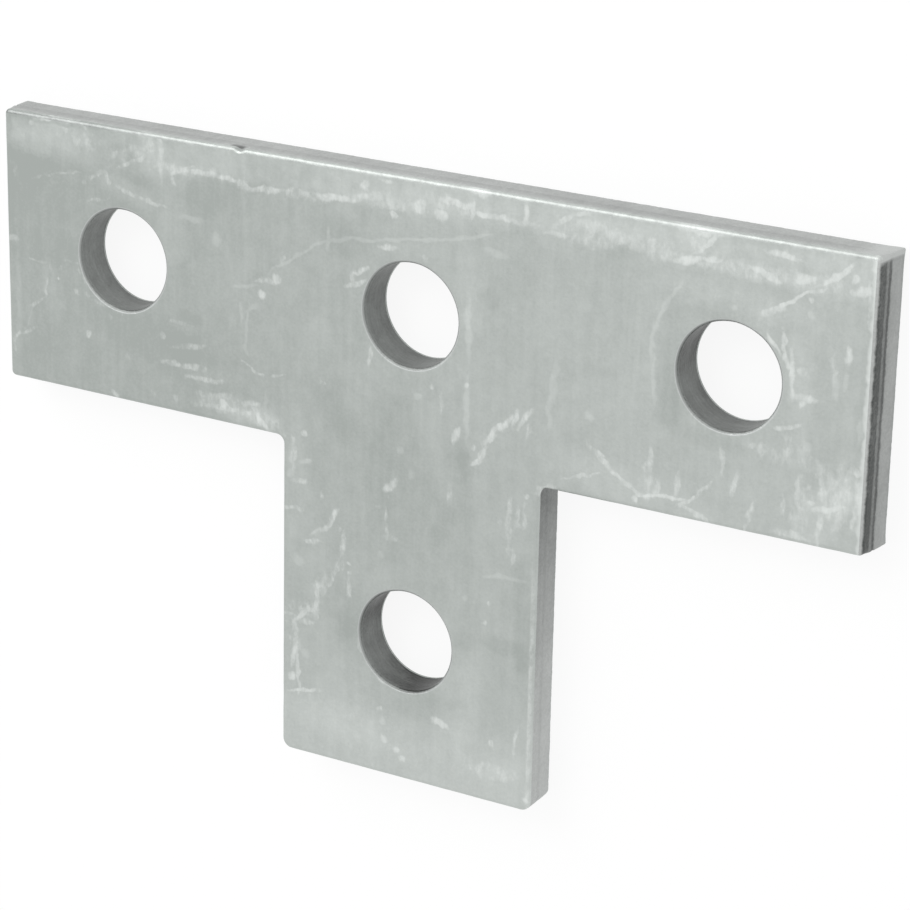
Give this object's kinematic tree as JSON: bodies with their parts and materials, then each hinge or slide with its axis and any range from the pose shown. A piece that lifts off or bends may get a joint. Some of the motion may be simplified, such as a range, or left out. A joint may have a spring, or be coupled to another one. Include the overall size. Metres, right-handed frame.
{
  "type": "flat tee joining plate",
  "caption": "Flat T-shaped steel plate with round bolt holes, for joining 41 mm channel framing at a tee.",
  "frame": {"origin": "on the back face, on the axis of the junction hole where crossbar and stem meet", "axes": "+X along the crossbar, the stem points along -Y, +Z out of the front face, the one with the rolled edges"},
  "size_m": [0.1382, 0.0887, 0.006],
  "materials": {
    "galvanised_steel": "hot-dip galvanised, dull grey-green and mottled, with frosted patches along the top edge, fine pale scratches and dark sheared end faces"
  },
  "bodies": {
    "root": {"joining_plate": "galvanised_steel"}
  },
  "joints": []
}
